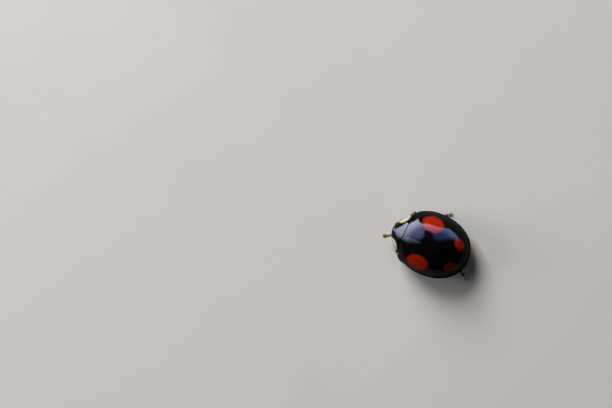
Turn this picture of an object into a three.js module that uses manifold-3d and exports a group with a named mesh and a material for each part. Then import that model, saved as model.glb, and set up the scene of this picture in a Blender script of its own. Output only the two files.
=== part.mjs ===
// A ladybird of the black form with four red spots, life size, standing at rest.
// Millimetres, +Z up, head towards -Y, its left side towards +X. The origin is on the
// floor, under the middle of the bounding box. Every foot has a flat sole at z = 0.
import * as THREE from "three";
import { mergeVertices } from "three/addons/utils/BufferGeometryUtils.js";
import Module from "manifold-3d";

const wasm = await Module();
wasm.setup();

// ---- Driving dimensions. x counts from the midline, y back from the pronotum's front edge. ----
const ORIGIN = [-0.16, 3.18]; // where the part's origin lies; the feet reach further on the right
const GAP = 0.03; // the thin cut that parts two plates
const SHELL = 0.5; // thickness of an elytron
const LIMB = 0.25; // half the thickness of a leg or feeler

const ELYTRA = {
  halfWidth: 2.62,
  widest: 3.36, // where along the body the elytra are widest
  noseStart: 0.5, // where their oval would close at the front, under the pronotum
  tail: 6.75,
  top: 3.44, // height of the crown above the floor
  crown: 3.1, // where along the body the crown is
  seam: 1.22, // where they meet the pronotum on the midline
  seamTop: 2.83, // height of the crown line at that seam
  rim: 1.05, // height of the side margin
  shoulderRise: 0.22, // how much the margin climbs at the shoulder
  tailRise: 0.1,
  flare: 0.07, // how far the flattened margin stands out
};

const TURN = 0.08; // how far the pronotum and head stand to the left of the midline
const PRONOTUM = {
  halfWidth: 1.63,
  widest: 1.0,
  noseStart: -0.06,
  back: 1.9, // where its oval would close at the back, inside the elytra
  frontEdge: 0.07,
  frontTop: 1.95,
  rim: 1.3,
};

const HEAD = { halfWidth: 0.68, length: 1.25, height: 1.05, centre: [TURN, 0.36, 1.3], tilt: 0.45 };
const EYE = { radius: 0.28, centre: [0.51, 0.22, 1.36] }; // the centre's x counts from the head's middle
const BELLY = { low: 0.68, front: 1.05, waist: 3.52, rear: 6.17, plates: 5, groove: 0.05 };
const SCUTELLUM = { halfWidth: 0.27, length: 0.42, depth: 0.5 };

// Where each leg leaves the body, bends at the knee, meets the foot at the ankle, and ends.
const LEGS = {
  front_left: { hip: [0.5, 1.05, 0.9], knee: [1.6, 0.98, 0.78], ankle: [1.3, 0.45, 0.36], toe: [0.9, 0.02, 0.19] },
  front_right: { hip: [-0.5, 1.05, 0.9], knee: [-1.88, 0.98, 0.78], ankle: [-1.3, 0.62, 0.36], toe: [-0.85, 0.28, 0.19] },
  middle_left: { hip: [0.85, 2.4, 0.82], knee: [2.1, 2.02, 0.7], ankle: [2.05, 3.15, 0.36], toe: [2.3, 3.98, 0.19] },
  middle_right: { hip: [-0.85, 2.4, 0.82], knee: [-2.15, 1.98, 0.7], ankle: [-2.35, 3.05, 0.36], toe: [-2.92, 3.73, 0.19] },
  hind_left: { hip: [0.75, 3.6, 0.8], knee: [1.9, 4.9, 0.7], ankle: [1.02, 6.28, 0.36], toe: [1.6, 7.06, 0.19] },
  hind_right: { hip: [-0.75, 3.6, 0.8], knee: [-1.95, 4.25, 0.7], ankle: [-1.3, 5.1, 0.36], toe: [-1.5, 5.65, 0.19] },
};
const ANTENNAE = {
  left: [[0.5, 0.04, 1.14], [0.76, -0.22, 1.12], [0.9, -0.5, 1.08], [0.98, -0.72, 1.0]],
  right: [[-0.46, 0.1, 1.15], [-0.72, 0.01, 1.03], [-0.96, 0.14, 0.93], [-1.08, 0.36, 0.88]],
};
const PALPS = {
  left: [[0.3, 0.14, 0.9], [0.36, -0.02, 0.74], [0.38, -0.2, 0.58]],
  right: [[-0.3, 0.14, 0.9], [-0.36, -0.02, 0.74], [-0.38, -0.2, 0.58]],
};

const COLOURS = {
  shell: 0x0b0b0d,
  shield: 0x121214,
  eye: 0x1a1a20,
  feeler: 0xa86a2c,
  thigh: 0x2a1710,
  shin: 0x7a3a1e,
  belly: 0x1c1412,
};

// ---- Solids from three.js geometry, and the cuts between them ----

// A closed geometry's positions, merged, as a solid that can be joined and cut.
function solid(geometry) {
  const bare = geometry.clone();
  bare.deleteAttribute("normal");
  bare.deleteAttribute("uv");
  const merged = mergeVertices(bare, 1e-4);
  return new wasm.Manifold(
    new wasm.Mesh({
      numProp: 3,
      vertProperties: new Float32Array(merged.attributes.position.array),
      triVerts: new Uint32Array(merged.index.array),
    }),
  );
}

function geometryOf(shape) {
  const cut = shape.getMesh();
  const positions = new Float32Array(cut.numVert * 3);
  for (let i = 0; i < cut.numVert; i++)
    positions.set(cut.vertProperties.subarray(i * cut.numProp, i * cut.numProp + 3), i * 3);
  return new THREE.BufferGeometry()
    .setAttribute("position", new THREE.BufferAttribute(positions, 3))
    .setIndex(new THREE.BufferAttribute(cut.triVerts, 1));
}

// A closed skin through one ring for each station but the first and last, which are its two ends.
// place(station, angle round Y, whether it is an end) gives each point.
function skin(around, stations, place) {
  const rows = stations.length - 1;
  const ball = new THREE.SphereGeometry(1, around, rows);
  const at = ball.attributes.position;
  for (let i = 0; i < at.count; i++) {
    const row = rows - Math.round((Math.acos(THREE.MathUtils.clamp(at.getY(i), -1, 1)) / Math.PI) * rows);
    const angle = Math.atan2(at.getZ(i), at.getX(i));
    const p = place(stations[row], angle, row === 0 || row === rows);
    at.setXYZ(i, p.x, p.y, p.z);
  }
  return ball;
}

// Stations from one end to the other, closer together towards both ends.
function roundedStations(from, to, rows) {
  return Array.from({ length: rows + 1 }, (_, i) => {
    return from + ((1 - Math.cos((Math.PI * i) / rows)) / 2) * (to - from);
  });
}

// A quarter of a superellipse: 1 at share 0, 0 at share 1.
function roundOff(share, power) {
  return Math.pow(1 - Math.pow(THREE.MathUtils.clamp(share, 0, 1), power), 1 / power);
}

// A tube round a smooth line, with radius(share along it) and round closed ends.
function limb(points, radius, around) {
  const line = new THREE.CatmullRomCurve3(points.map((p) => new THREE.Vector3(...p)));
  const reach = Math.min(LIMB / line.getLength(), 0.42);
  const cap = [0, 0.1 * reach, 0.5 * reach, 1.1 * reach];
  const stations = [...cap, 0.5, ...cap.map((share) => 1 - share).reverse()];
  const side = new THREE.Vector3();
  const up = new THREE.Vector3();
  return skin(around, stations, (share, angle, isEnd) => {
    const tangent = line.getTangentAt(share);
    side.crossVectors(tangent, new THREE.Vector3(0, 0, 1)).normalize();
    up.crossVectors(side, tangent).normalize();
    const r = isEnd ? 0 : radius(share) * roundOff(1 - Math.min(share, 1 - share) / reach, 2);
    return line
      .getPointAt(share)
      .addScaledVector(side, r * Math.cos(angle))
      .addScaledVector(up, r * Math.sin(angle));
  });
}

function box(low, high) {
  const size = high.map((v, i) => v - low[i]);
  return solid(
    new THREE.BoxGeometry(...size).translate(...low.map((v, i) => v + size[i] / 2)),
  );
}

// An upright wall with the plan outline of shape, from z = low to high.
function upright(shape, low, high) {
  const settings = { depth: high - low, bevelEnabled: false, curveSegments: 10 };
  return solid(new THREE.ExtrudeGeometry(shape, settings).translate(0, 0, low));
}

// ---- The elytra: one dome, hollowed, then parted along the suture ----

function elytraWidth(y) {
  const e = ELYTRA;
  return y < e.widest
    ? e.halfWidth * roundOff((e.widest - y) / (e.widest - e.noseStart), 2.3)
    : e.halfWidth * roundOff((y - e.widest) / (e.tail - e.widest), 2.15);
}

function elytraRim(y) {
  const e = ELYTRA;
  const rise = y < e.widest ? e.shoulderRise : e.tailRise;
  const reach = y < e.widest ? e.widest - e.seam : e.tail - e.widest;
  return e.rim + rise * Math.pow(Math.abs(y - e.widest) / reach, 2.5);
}

function elytraTop(y) {
  const e = ELYTRA;
  if (y < e.crown)
    return e.top - (e.top - e.seamTop) * Math.pow((e.crown - y) / (e.crown - e.seam), 2.1);
  return elytraRim(y) + (e.top - elytraRim(y)) * roundOff((y - e.crown) / (e.tail - e.crown), 2.2);
}

// The dome drawn in by inset on all sides; its underside lies floor below the rim.
function elytraDome(inset, floor, around, rows) {
  const front = ELYTRA.noseStart;
  const back = ELYTRA.tail - inset;
  return solid(
    skin(around, roundedStations(front, back, rows), (y, angle, isEnd) => {
      const rim = elytraRim(y);
      const top = Math.max(elytraTop(y + inset * 0.5) - inset, rim);
      if (isEnd) return new THREE.Vector3(0, y, (rim + top) / 2);
      const width = Math.max(elytraWidth(y + inset * 0.5) - inset, 0);
      const rise = Math.sin(angle);
      const flare = inset > 0 ? 0 : ELYTRA.flare * Math.exp(-Math.pow(rise / 0.16, 2)) * Math.min(1, width);
      const closes = Math.min(1, 3 * roundOff(Math.abs((2 * (y - front)) / (back - front) - 1), 2));
      const z = rise > 0 ? rim + (top - rim) * rise : rim + floor * rise * closes;
      return new THREE.Vector3((width + flare) * Math.cos(angle), y, z);
    }),
  );
}

// The plan outline of all that lies in front of the elytra, moved back by shift.
function inFrontOfElytra(shift) {
  const s = ELYTRA.seam + shift;
  const outline = new THREE.Shape();
  outline.moveTo(-3, -2);
  outline.lineTo(3, -2);
  outline.lineTo(3, s + 0.9);
  outline.bezierCurveTo(2.1, s + 0.28, 2.0, s - 0.1, 1.35, s - 0.1);
  outline.quadraticCurveTo(0.6, s - 0.1, 0, s);
  outline.quadraticCurveTo(-0.6, s - 0.1, -1.35, s - 0.1);
  outline.bezierCurveTo(-2.0, s - 0.1, -2.1, s + 0.28, -3, s + 0.9);
  return upright(outline, -1, 5);
}

// The small triangular plate between the elytra, just behind the pronotum.
function scutellumOutline(grow) {
  const w = SCUTELLUM.halfWidth + grow;
  const front = ELYTRA.seam - 0.3;
  const outline = new THREE.Shape();
  outline.moveTo(-w, front);
  outline.lineTo(w, front);
  outline.lineTo(w, ELYTRA.seam + 0.03);
  outline.quadraticCurveTo(w * 0.4, ELYTRA.seam + SCUTELLUM.length * 0.6, 0, ELYTRA.seam + SCUTELLUM.length + grow);
  outline.quadraticCurveTo(-w * 0.4, ELYTRA.seam + SCUTELLUM.length * 0.6, -w, ELYTRA.seam + 0.03);
  return outline;
}

const dome = elytraDome(0, 0.06, 40, 22);
const cavity = elytraDome(SHELL, 1, 16, 10);
const aheadOfElytra = inFrontOfElytra(0);
const scutellumHole = upright(scutellumOutline(GAP), ELYTRA.seamTop - SCUTELLUM.depth, 4);
const elytra = dome.subtract(cavity).subtract(aheadOfElytra).subtract(scutellumHole);
const leftHalf = box([GAP / 2, -2, -1], [4, 8, 5]);
const rightHalf = box([-4, -2, -1], [-GAP / 2, 8, 5]);
const scutellum = dome
  .subtract(aheadOfElytra)
  .intersect(upright(scutellumOutline(0), ELYTRA.seamTop - SCUTELLUM.depth + GAP, 4));

// ---- The head, with the eyes let into it ----

function turnedBall(radii, centre, tilt, around, along) {
  return solid(
    new THREE.SphereGeometry(1, around, along)
      .scale(...radii)
      .rotateX(tilt)
      .translate(...centre),
  );
}

function headBall(grow) {
  const radii = [HEAD.halfWidth + grow, HEAD.length / 2 + grow, HEAD.height / 2 + grow];
  return turnedBall(radii, HEAD.centre, HEAD.tilt, 18, 11);
}

function eyeBall(side, grow) {
  const [x, y, z] = EYE.centre;
  const r = EYE.radius + grow;
  return turnedBall([r * 0.82, r * 1.05, r], [HEAD.centre[0] + side * x, y, z], 0, 12, 7);
}

// ---- The pronotum: a shield over the head, its back edge fitted to the elytra ----

function pronotumWidth(y) {
  const p = PRONOTUM;
  return y < p.widest
    ? p.halfWidth * roundOff((p.widest - y) / (p.widest - p.noseStart), 1.72)
    : p.halfWidth * roundOff((y - p.widest) / (p.back - p.widest), 2.6);
}

function pronotumTop(y) {
  const p = PRONOTUM;
  const share = (ELYTRA.seam - y) / (ELYTRA.seam - p.frontEdge);
  return ELYTRA.seamTop - (ELYTRA.seamTop - p.frontTop) * share * (0.92 + 0.08 * Math.abs(share));
}

function pronotumDome() {
  const { noseStart, back, rim } = PRONOTUM;
  return solid(
    skin(24, roundedStations(noseStart, back, 14), (y, angle, isEnd) => {
      const top = Math.max(pronotumTop(y), rim);
      if (isEnd) return new THREE.Vector3(TURN, y, (rim + top) / 2);
      const rise = Math.sin(angle);
      const z = rise > 0 ? rim + (top - rim) * Math.pow(rise, 0.9) : rim + 0.1 * rise;
      return new THREE.Vector3(TURN + pronotumWidth(y) * Math.cos(angle), y, z);
    }),
  );
}

// The hollow of the pronotum's front edge, seen from above.
function frontHollow() {
  const outline = new THREE.Shape();
  outline.absellipse(TURN, PRONOTUM.frontEdge - 0.6, 1.7, 0.6, 0, Math.PI * 2);
  return upright(outline, -1, 5);
}

// ---- The underside: prothorax, thorax and abdomen under the shell ----

// Where the rings of the trunk lie: close round each groove between the belly plates.
function trunkStations() {
  const { front, waist, rear, plates } = BELLY;
  const ahead = [0, 0.02, 0.1, 0.3, 0.8].map((y) => front + y);
  const stations = [...ahead, (front + waist) / 2, waist - 0.3];
  for (let i = 0; i < plates; i++) {
    const start = waist + (i * (rear - waist)) / plates;
    const end = waist + ((i + 1) * (rear - waist)) / plates;
    stations.push(start, start + 0.07, end - 0.07);
  }
  return [...stations, rear - 0.015, rear];
}

// The trunk under the elytra; grooves part the belly plates of its rear half.
function trunk(grow) {
  const inset = SHELL + GAP + 0.05 - grow;
  const { front, waist, rear, plates } = BELLY;
  return solid(
    skin(22, trunkStations(), (station, angle, isEnd) => {
      const share = (2 * (station - front)) / (rear - front) - 1;
      const y = station + grow * share;
      const end = roundOff(Math.abs(share), 3.2);
      const width = Math.max(elytraWidth(y + inset * 0.5) - inset, 0) * Math.min(1, end * 1.4);
      const rim = elytraRim(y);
      const top = Math.max(elytraTop(y + inset * 0.5) - inset, rim + 0.05);
      const rise = Math.sin(angle);
      const plate = ((station - waist) / (rear - waist)) * plates;
      const groove = plate > -0.01 && Math.abs(plate - Math.round(plate)) < 0.01 ? BELLY.groove : 0;
      const deep = (rim - BELLY.low + grow - groove) * end;
      if (isEnd) return new THREE.Vector3(0, y, rim);
      const z = rise > 0 ? rim + (top - rim) * rise * end : rim - deep * Math.pow(-rise, 0.7);
      return new THREE.Vector3(width * Math.cos(angle), y, z);
    }),
  );
}

function prothoraxBall(grow) {
  return turnedBall([1.3 + grow, 0.75 + grow, 0.42 + grow], [0, 0.78, 1.16], 0.12, 16, 9);
}

// ---- Legs ----

const segment = {
  femur: (leg, grow) => [[leg.hip, leg.knee], (s) => (LIMB + 0.03) * (0.85 + 0.3 * Math.sin(Math.PI * s)) + grow],
  tibia: (leg, grow) => [[leg.knee, leg.ankle], (s) => LIMB * (0.92 + 0.12 * s) + grow],
  tarsus: (leg, grow) => [[leg.ankle, leg.toe], (s) => LIMB * (1.0 + 0.12 * Math.sin(Math.PI * s)) + grow],
};

// A line between two joints, bowed up by lift of its length.
function bowed([from, to], lift) {
  const a = new THREE.Vector3(...from);
  const b = new THREE.Vector3(...to);
  const middle = a.clone().lerp(b, 0.5);
  middle.z += lift * a.distanceTo(b);
  return [from, middle.toArray(), to];
}

function legPart(kind, leg, grow) {
  const [ends, radius] = segment[kind](leg, grow);
  return solid(limb(bowed(ends, kind === "tarsus" ? -0.07 : 0.05), radius, 9));
}

// ---- Assembly ----

const ladybird = new THREE.Group();
const above = box([-5, -4, 0], [5, 9, 6]); // all that lies above the floor

function add(name, shape, colour, roughness) {
  const material = new THREE.MeshStandardMaterial({ color: colour, roughness, metalness: 0 });
  const mesh = new THREE.Mesh(geometryOf(shape), material);
  mesh.name = name;
  mesh.position.set(-ORIGIN[0], -ORIGIN[1], 0);
  ladybird.add(mesh);
}

const head = headBall(0).subtract(eyeBall(1, GAP)).subtract(eyeBall(-1, GAP));
const behindWaist = box([-4, BELLY.waist, -1], [4, 9, 5]);
const aheadOfWaist = box([-4, -3, -1], [4, BELLY.waist - GAP, 5]);
const prothorax = prothoraxBall(0)
  .subtract(headBall(GAP))
  .subtract(eyeBall(1, GAP))
  .subtract(eyeBall(-1, GAP))
  .subtract(trunk(GAP))
  .intersect(inFrontOfElytra(-GAP));
const pronotum = pronotumDome()
  .intersect(inFrontOfElytra(-GAP))
  .subtract(frontHollow())
  .subtract(headBall(GAP))
  .subtract(eyeBall(1, GAP))
  .subtract(eyeBall(-1, GAP))
  .subtract(prothoraxBall(GAP))
  .subtract(trunk(GAP));

add("elytron_left", elytra.intersect(leftHalf), COLOURS.shell, 0.12);
add("elytron_right", elytra.intersect(rightHalf), COLOURS.shell, 0.12);
add("scutellum", scutellum, COLOURS.shell, 0.15);
add("pronotum", pronotum, COLOURS.shield, 0.15);
add("prothorax", prothorax, COLOURS.belly, 0.4);
add("thorax", trunk(0).intersect(aheadOfWaist), COLOURS.belly, 0.4);
add("abdomen", trunk(0).intersect(behindWaist), COLOURS.belly, 0.4);
add("head", head, COLOURS.shield, 0.2);
add("eye_left", eyeBall(1, 0), COLOURS.eye, 0.1);
add("eye_right", eyeBall(-1, 0), COLOURS.eye, 0.1);

for (const side of ["left", "right"]) {
  const eye = eyeBall(side === "left" ? 1 : -1, GAP);
  const feeler = solid(limb(ANTENNAE[side], (s) => LIMB * (0.9 + 0.3 * Math.pow(s, 3)), 8));
  const palp = solid(limb(PALPS[side], (s) => LIMB * (0.85 + 0.2 * s), 7));
  add(`antenna_${side}`, feeler.subtract(headBall(GAP)).subtract(eye).subtract(prothoraxBall(GAP)), COLOURS.feeler, 0.4);
  add(`palp_${side}`, palp.subtract(headBall(GAP)), COLOURS.shin, 0.4);
}

for (const [name, leg] of Object.entries(LEGS)) {
  const [place, side] = name.split("_");
  const femur = legPart("femur", leg, 0).subtract(trunk(GAP)).subtract(prothoraxBall(GAP));
  const tibia = legPart("tibia", leg, 0).subtract(legPart("femur", leg, GAP));
  const tarsus = legPart("tarsus", leg, 0).subtract(legPart("tibia", leg, GAP)).intersect(above);
  add(`${place}_femur_${side}`, femur, COLOURS.thigh, 0.3);
  add(`${place}_tibia_${side}`, tibia, COLOURS.shin, 0.35);
  add(`${place}_tarsus_${side}`, tarsus, COLOURS.shin, 0.4);
}

export default ladybird;
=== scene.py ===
import math

import bpy
from mathutils import Matrix, Quaternion, Vector


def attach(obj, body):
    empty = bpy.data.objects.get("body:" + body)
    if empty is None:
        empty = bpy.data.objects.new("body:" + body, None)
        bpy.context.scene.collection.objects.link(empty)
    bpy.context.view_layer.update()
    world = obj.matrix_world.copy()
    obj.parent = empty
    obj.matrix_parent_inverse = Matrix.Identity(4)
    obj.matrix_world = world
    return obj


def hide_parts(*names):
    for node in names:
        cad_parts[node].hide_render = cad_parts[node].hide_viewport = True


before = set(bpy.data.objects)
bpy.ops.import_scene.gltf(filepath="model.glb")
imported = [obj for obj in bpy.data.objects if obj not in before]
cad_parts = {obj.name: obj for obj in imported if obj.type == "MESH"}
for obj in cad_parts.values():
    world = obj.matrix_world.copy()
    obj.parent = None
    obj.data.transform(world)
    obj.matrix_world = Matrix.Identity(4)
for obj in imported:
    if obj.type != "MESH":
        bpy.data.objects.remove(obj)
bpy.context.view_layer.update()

bl_info = {
    "name": "Ladybird",
    "version": (1, 0, 0),
    "blender": (4, 5, 0),
    "location": "View3D > Sidebar > Ladybird",
    "description": "Builds a life-size black ladybird with four red spots around its packed solids",
    "category": "Object",
}

# Pieces are shaped in millimetres, with x counted from the midline and y back from the front
# edge of the pronotum, and are brought to metres and to the frame's origin when finished.
MM = 0.001
BODY_TO_ORIGIN = Vector((-0.16, 3.18, 0))
SIDES = (("left", 1), ("right", -1))
MERGE = 0.0005  # vertices nearer to each other than this are made one
FINE_MERGE = 0.0002  # the same, on thin walls
POINT = 0.0002  # half the width of a skin's end that closes to a point
RIM_RISE = 0.02  # how far the underside's edge lies above the shell's rim

# The wing cases' front edge: how far from the midline, and how far behind the seam's middle.
SEAM_LINE = (
    (0.0, -0.05), (0.5, -0.07), (0.9, -0.07), (1.15, -0.03), (1.4, 0.05), (1.6, 0.13), (1.73, 0.08),
    (1.84, -0.05), (1.98, -0.12), (2.4, 0.0), (3.0, 0.5))
SEAM_SLANT = {"left": -0.07, "right": 0.05}  # how far back it slants for each millimetre sideways
SEAM_SLANT_REACH = 1.2
SEAM_BLOCK = (3.0, -2.0, 5.0)  # half width, front and half height of the block ahead of it

# Each leg's hip, knee, ankle and toe.
LEGS = {
    "front_left": ((0.5, 1.05, 0.9), (1.6, 0.98, 0.78), (1.3, 0.45, 0.36), (0.9, 0.02, 0.19)),
    "front_right": ((-0.5, 1.05, 0.9), (-1.88, 0.98, 0.78), (-1.3, 0.62, 0.36), (-0.85, 0.28, 0.19)),
    "middle_left": ((0.85, 2.4, 0.82), (2.1, 2.02, 0.7), (2.05, 3.15, 0.36), (2.3, 3.98, 0.19)),
    "middle_right": ((-0.85, 2.4, 0.82), (-2.15, 1.98, 0.7), (-2.35, 3.05, 0.36), (-2.92, 3.73, 0.19)),
    "hind_left": ((0.75, 3.6, 0.8), (1.9, 4.9, 0.7), (1.02, 6.28, 0.36), (1.6, 7.06, 0.19)),
    "hind_right": ((-0.75, 3.6, 0.8), (-1.95, 4.25, 0.7), (-1.3, 5.1, 0.36), (-1.5, 5.65, 0.19)),
}
# Each feeler's line, from the head to its tip.
ANTENNAE = {
    "left": ((0.5, 0.04, 1.14), (0.76, -0.22, 1.12), (0.9, -0.5, 1.08), (0.98, -0.72, 1.0)),
    "right": ((-0.44, 0.1, 1.13), (-0.68, 0.12, 1.01), (-0.88, 0.24, 0.92), (-0.99, 0.42, 0.87)),
}
PALPS = {
    "left": ((0.3, 0.14, 0.9), (0.36, -0.02, 0.74), (0.38, -0.2, 0.58)),
    "right": ((-0.3, 0.14, 0.9), (-0.36, -0.02, 0.74), (-0.38, -0.2, 0.58)),
}


# ---- Sizes and colours ----

def colour(name, description, default):
    return bpy.props.FloatVectorProperty(
        name=name, description=description, subtype="COLOR", size=3, min=0, max=1, default=default)


def length(name, description, default):
    return bpy.props.FloatProperty(name=name, description=description, default=default, min=0.001)


class LadybirdSizes(bpy.types.PropertyGroup):
    """Sizes in millimetres, as on the living animal."""

    shell_half_width: length("Shell half width", "Half the width of the two wing cases together", 2.6)
    shell_widest: length("Shell widest at", "How far back the wing cases are widest", 3.36)
    shell_start: length("Shell oval start", "Where the oval of the wing cases would close at the front", 0.5)
    shell_tail: length("Shell tail", "How far back the wing cases reach", 6.75)
    shell_seam: length("Shell front", "Where the wing cases meet the pronotum", 1.22)
    shell_seam_height: length("Shell front height", "Height of the crown where they meet", 2.83)
    shell_top: length("Shell top", "Height of the highest point above the floor", 3.44)
    shell_crown: length("Shell crown at", "How far back the highest point lies", 3.1)
    shell_rim: length("Shell rim height", "Height of the side margin above the floor", 1.05)
    shell_thickness: length("Shell thickness", "Thickness of a wing case", 0.1)
    shield_half_width: length("Pronotum half width", "Half the width of the pronotum", 1.61)
    shield_front: length("Pronotum front", "How far back its front edge lies on the midline", 0.07)
    shield_front_height: length("Pronotum front height", "Height of its front edge on the midline", 1.95)
    shield_rim: length("Pronotum rim height", "Height of its side margin", 1.3)
    head_aside: length("Head aside", "How far the pronotum and head stand to the left of the midline", 0.08)
    claw_length: length("Claw length", "Length of a foot's claw", 0.2)
    hair_length: length("Hair length", "Length of the short hairs on legs and underside", 0.09)


class LadybirdColours(bpy.types.PropertyGroup):
    """Colours of the parts, in linear light."""

    shell: colour("Shell", "Black of the wing cases, pronotum and head", (0.0022, 0.0022, 0.0026))
    spot: colour("Spots", "Orange red of the four spots", (0.46, 0.020, 0.002))
    spot_edge: colour("Spot edges", "Darker red where a spot meets the black", (0.16, 0.004, 0.001))
    cream: colour("Cream", "Cream of the patches on the pronotum's sides", (0.66, 0.65, 0.5))
    shin: colour("Shins and feet", "Reddish brown of the shins and feet", (0.19, 0.058, 0.02))
    thigh: colour("Thighs", "Dark brown of the thighs", (0.014, 0.006, 0.004))
    feeler: colour("Feelers", "Amber of the feelers", (0.46, 0.25, 0.07))
    feeler_tip: colour("Feeler tips", "Brown of the feelers' clubs", (0.2, 0.075, 0.02))
    belly: colour("Underside", "Brown black of the underside", (0.018, 0.009, 0.006))
    floor: colour("Floor", "Plain pale floor", (0.78, 0.775, 0.76))


def sizes():
    return bpy.context.scene.ladybird_sizes


def colours():
    return bpy.context.scene.ladybird_colours


def tinted(tone, share):
    """The colour made darker or lighter by a share."""
    return [v * share for v in tone]


# ---- The outlines that the plates share ----

# Powers of the curves: 2 is an ellipse, and more is fuller.
SHELL_FRONT_POWER, SHELL_TAIL_POWER = 2.3, 2.15
RIM_LIFT_FRONT, RIM_LIFT_TAIL, RIM_POWER = 0.22, 0.1, 2.5
CROWN_FRONT_POWER, CROWN_TAIL_POWER = 2.1, 2.2
SHIELD_WIDEST = 1.0
SHIELD_FRONT_REACH, SHIELD_FRONT_POWER = 1.06, 1.72
SHIELD_BACK_REACH, SHIELD_BACK_POWER = 0.9, 2.6


def round_off(share, power):
    """A quarter of a superellipse: 1 at share 0, and 0 at share 1."""
    return (1 - min(max(share, 0), 1) ** power) ** (1 / power)


def shell_width(y):
    """Half the width of the shell."""
    s = sizes()
    if y < s.shell_widest:
        share, power = (s.shell_widest - y) / (s.shell_widest - s.shell_start), SHELL_FRONT_POWER
    else:
        share, power = (y - s.shell_widest) / (s.shell_tail - s.shell_widest), SHELL_TAIL_POWER
    return s.shell_half_width * round_off(share, power)


def shell_rim(y):
    """Height of the shell's side margin."""
    s = sizes()
    if y < s.shell_widest:
        share, lift = (s.shell_widest - y) / (s.shell_widest - s.shell_seam), RIM_LIFT_FRONT
    else:
        share, lift = (y - s.shell_widest) / (s.shell_tail - s.shell_widest), RIM_LIFT_TAIL
    return s.shell_rim + lift * abs(share) ** RIM_POWER


def shell_top(y):
    """Height of the shell on the midline."""
    s = sizes()
    if y < s.shell_crown:
        share = (s.shell_crown - y) / (s.shell_crown - s.shell_seam)
        return s.shell_top - (s.shell_top - s.shell_seam_height) * share ** CROWN_FRONT_POWER
    share = (y - s.shell_crown) / (s.shell_tail - s.shell_crown)
    return shell_rim(y) + (s.shell_top - shell_rim(y)) * round_off(share, CROWN_TAIL_POWER)


def shield_width(y):
    """Half the width of the pronotum."""
    if y < SHIELD_WIDEST:
        share, power = (SHIELD_WIDEST - y) / SHIELD_FRONT_REACH, SHIELD_FRONT_POWER
    else:
        share, power = (y - SHIELD_WIDEST) / SHIELD_BACK_REACH, SHIELD_BACK_POWER
    return sizes().shield_half_width * round_off(share, power)


def shield_top(y):
    """Height of the pronotum on its midline."""
    s = sizes()
    share = (s.shell_seam - y) / (s.shell_seam - s.shield_front)
    return s.shell_seam_height - (s.shell_seam_height - s.shield_front_height) * share * (0.92 + 0.08 * abs(share))


# ---- Modelling steps, made of Blender's own operators ----

def edit_all():
    """Goes into edit mode, with the whole of the active piece selected."""
    bpy.ops.object.mode_set(mode="EDIT")
    bpy.ops.mesh.select_all(action="SELECT")


def end_edit():
    bpy.ops.object.mode_set(mode="OBJECT")


def settle():
    """Makes the place, turn and scale of what is selected part of its mesh."""
    bpy.ops.object.transform_apply(location=True, rotation=True, scale=True)


def added(name):
    """The piece that was added last, named and settled."""
    piece = bpy.context.object
    piece.name = name
    settle()
    return piece


def deselect():
    if bpy.context.object and bpy.context.object.mode != "OBJECT":
        end_edit()
    bpy.ops.object.select_all(action="DESELECT")


def work_on(*pieces):
    """The pieces alone are selected, and the last one is active."""
    deselect()
    for piece in pieces:
        piece.select_set(True)
    bpy.context.view_layer.objects.active = pieces[-1]
    return pieces[-1]


def pick(piece, kind, test):
    """In edit mode, selects the vertices, edges or faces all of whose corners pass the test."""
    work_on(piece)
    bpy.ops.object.mode_set(mode="EDIT")
    bpy.ops.mesh.select_mode(type=kind)
    bpy.ops.mesh.select_all(action="DESELECT")
    end_edit()
    mesh = piece.data
    passed = [test(v.co) for v in mesh.vertices]
    if kind == "VERT":
        for vertex in mesh.vertices:
            vertex.select = passed[vertex.index]
    else:
        for item in mesh.edges if kind == "EDGE" else mesh.polygons:
            item.select = all(passed[i] for i in item.vertices)
    bpy.ops.object.mode_set(mode="EDIT")


def extrude(move=(0, 0, 0), scale=(1, 1, 1), centre=(0, 0, 0)):
    """Extrudes what is selected by move, then scales it about centre."""
    bpy.ops.mesh.extrude_region_move(TRANSFORM_OT_translate={"value": move})
    if tuple(scale) != (1, 1, 1):
        bpy.ops.transform.resize(value=scale, center_override=centre)


def push(piece, test, move):
    """Moves the vertices that pass the test."""
    pick(piece, "VERT", test)
    bpy.ops.transform.translate(value=move)
    end_edit()


def squeeze(piece, test, scale, centre):
    """Scales the vertices that pass the test about centre."""
    pick(piece, "VERT", test)
    bpy.ops.transform.resize(value=scale, center_override=centre)
    end_edit()


def pull(piece, centre, reach, move, spread):
    """Draws the skin within reach of a point by move, fading out over spread."""
    pick(piece, "VERT", lambda v: (v - Vector(centre)).length < reach)
    bpy.ops.transform.translate(
        value=move, use_proportional_edit=True, proportional_edit_falloff="SMOOTH", proportional_size=spread)
    end_edit()


def modifier(piece, kind, **settings):
    """Adds a modifier to the piece and applies it."""
    work_on(piece)
    bpy.ops.object.modifier_add(type=kind)
    change = piece.modifiers[-1]
    for key, value in settings.items():
        setattr(change, key, value)
    bpy.ops.object.modifier_apply(modifier=change.name)


def smooth(piece):
    modifier(piece, "SUBSURF", levels=1, render_levels=1)


def bevel(piece, width, segments, angle):
    """Rounds the edges that turn by more than an angle in degrees."""
    modifier(
        piece, "BEVEL", width=width, segments=segments, limit_method="ANGLE", angle_limit=math.radians(angle))


def thicken(piece, thickness):
    """Gives a skin a thickness, inwards."""
    modifier(piece, "SOLIDIFY", thickness=thickness, offset=-1)


def tidy(piece, distance=MERGE):
    """Merges doubled vertices and turns every face outwards."""
    work_on(piece)
    edit_all()
    bpy.ops.mesh.remove_doubles(threshold=distance)
    bpy.ops.mesh.normals_make_consistent(inside=False)
    end_edit()


def keep_side(piece, sign, edge):
    """Takes away what lies nearer the midline than an upright plane at edge."""
    work_on(piece)
    edit_all()
    bpy.ops.mesh.bisect(plane_co=(edge, 0, 0), plane_no=(sign, 0, 0), clear_inner=True, threshold=1e-5)
    tidy(piece)


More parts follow.
